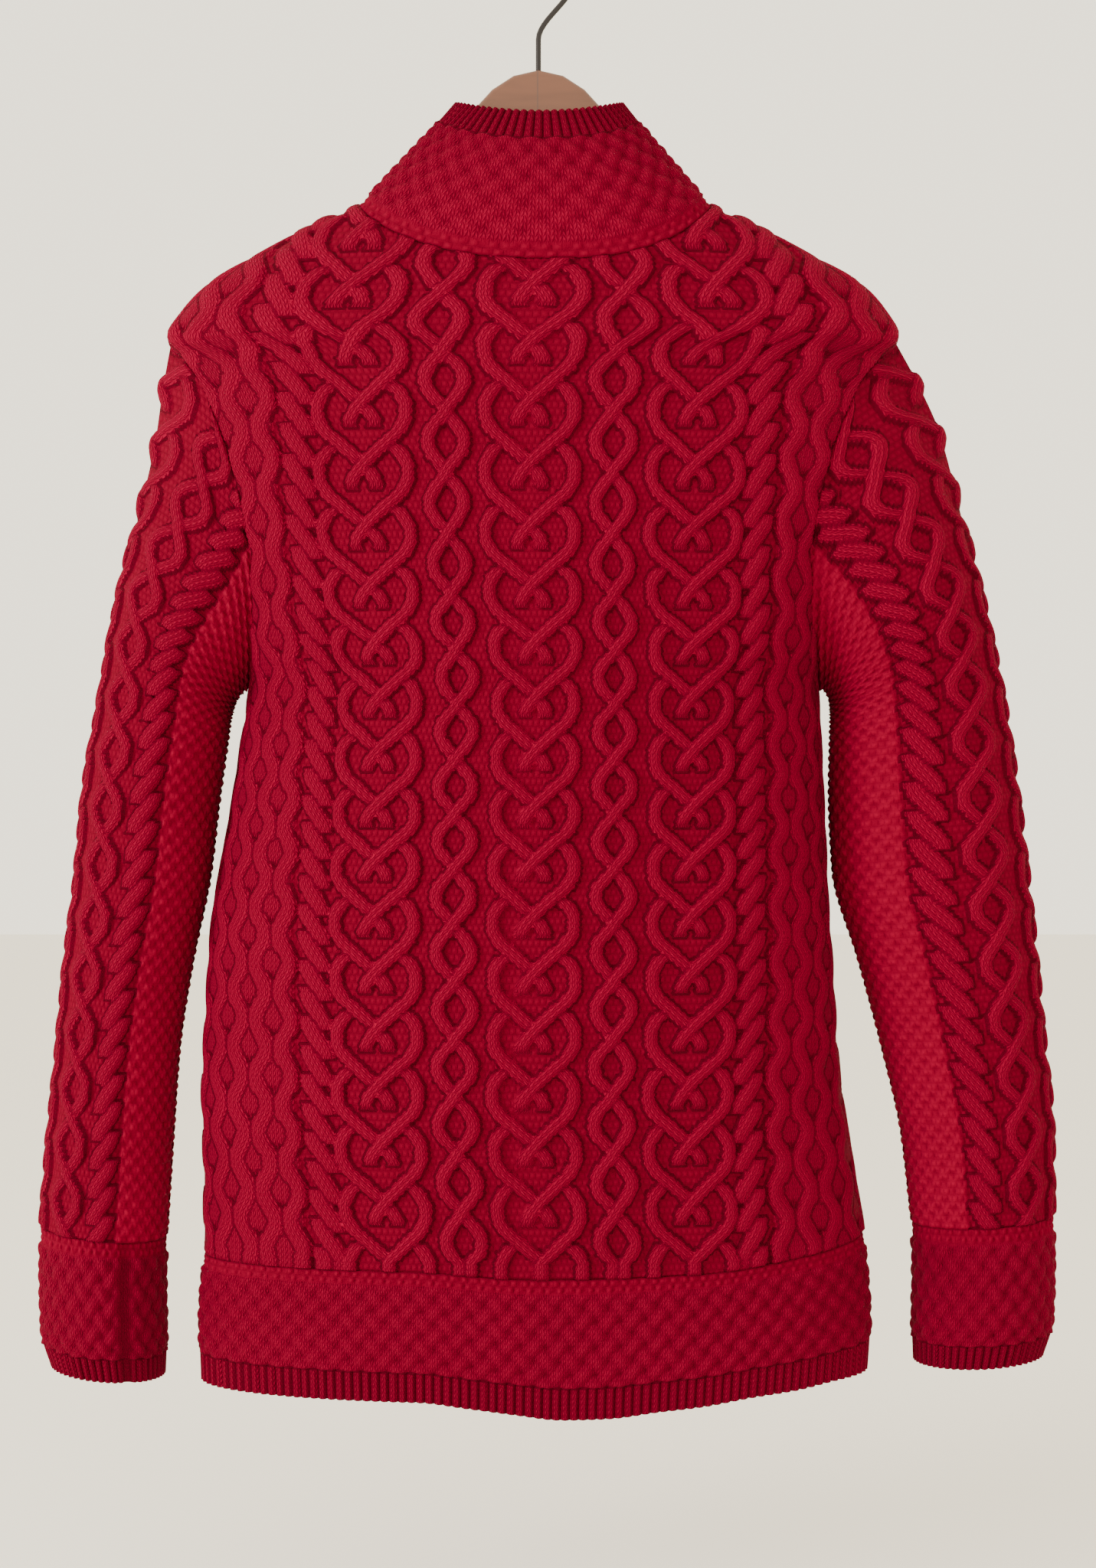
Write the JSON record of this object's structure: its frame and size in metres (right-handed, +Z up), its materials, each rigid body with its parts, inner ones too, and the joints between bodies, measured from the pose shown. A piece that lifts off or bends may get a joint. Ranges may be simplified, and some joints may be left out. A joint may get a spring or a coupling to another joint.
{
  "type": "aran sweater on a wooden hanger",
  "caption": "Aran cable-knit sweater with a funnel collar, hanging on a wooden hanger with a wire hook.",
  "frame": {"origin": "inner top of the hanger's hook, where a rail holds it up", "axes": "+Z up, the garment's back faces -Y, +X to the right when its back is looked at"},
  "size_m": [0.5693, 0.146, 0.8152],
  "materials": {
    "wool": "matt cerise wool, worsted weight",
    "wood": "satin varnished wood",
    "wire": "black satin steel wire"
  },
  "bodies": {
    "root": {"back_panel": "wool", "front_panel": "wool", "sleeve_left": "wool", "sleeve_right": "wool", "cuff_left": "wool", "cuff_right": "wool", "collar": "wool", "hem_band": "wool", "hanger_body": "wood", "hanger_hook": "wire"}
  },
  "joints": []
}
